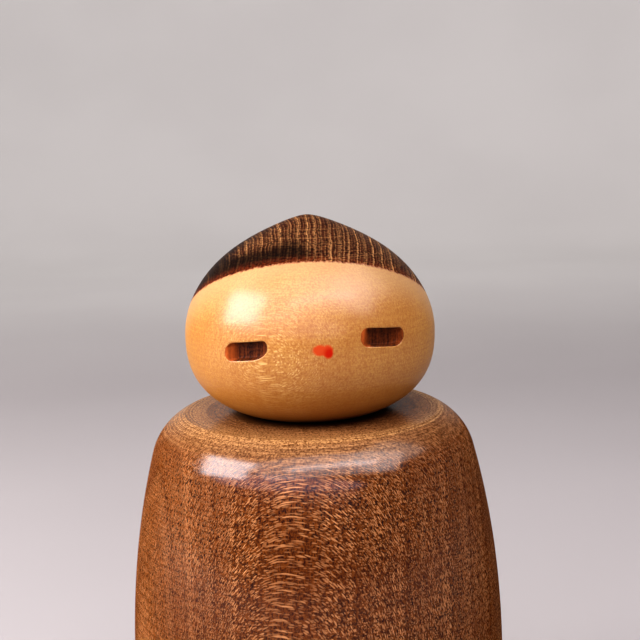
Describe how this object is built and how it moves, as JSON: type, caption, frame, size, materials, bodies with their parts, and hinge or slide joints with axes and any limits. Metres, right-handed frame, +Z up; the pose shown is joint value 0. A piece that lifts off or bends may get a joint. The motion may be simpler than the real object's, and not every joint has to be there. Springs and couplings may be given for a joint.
{
  "type": "kokeshi doll",
  "caption": "Turned wooden doll: a broad barrel body with rounded shoulders, and a round, scorched-cap head that turns on a neck pin.",
  "frame": {"origin": "centre of the flat base, on the doll's upright axis", "axes": "+Z up along the doll's axis, the face looks along -Y, +X is to the viewer's right when facing the doll"},
  "size_m": [0.0886, 0.0886, 0.1555],
  "materials": {
    "body_wood": "reddish-brown stained, fine ray flecks, satin to gloss lacquer",
    "head_wood": "pale tan wood under clear gloss lacquer, with a scorched near-black cap of hair, burnt eye hollows and a vermilion mouth",
    "pin_wood": "bare turned wood, not lacquered"
  },
  "bodies": {
    "body": {"body": "body_wood"},
    "head": {"head": "head_wood", "neck_dowel": "pin_wood"}
  },
  "joints": [
    {"name": "head_turn", "type": "hinge", "parent": "body", "child": "head", "pos_m": [0, 0, 0.1], "axis": [0, 0, 1], "continuous": true}
  ]
}
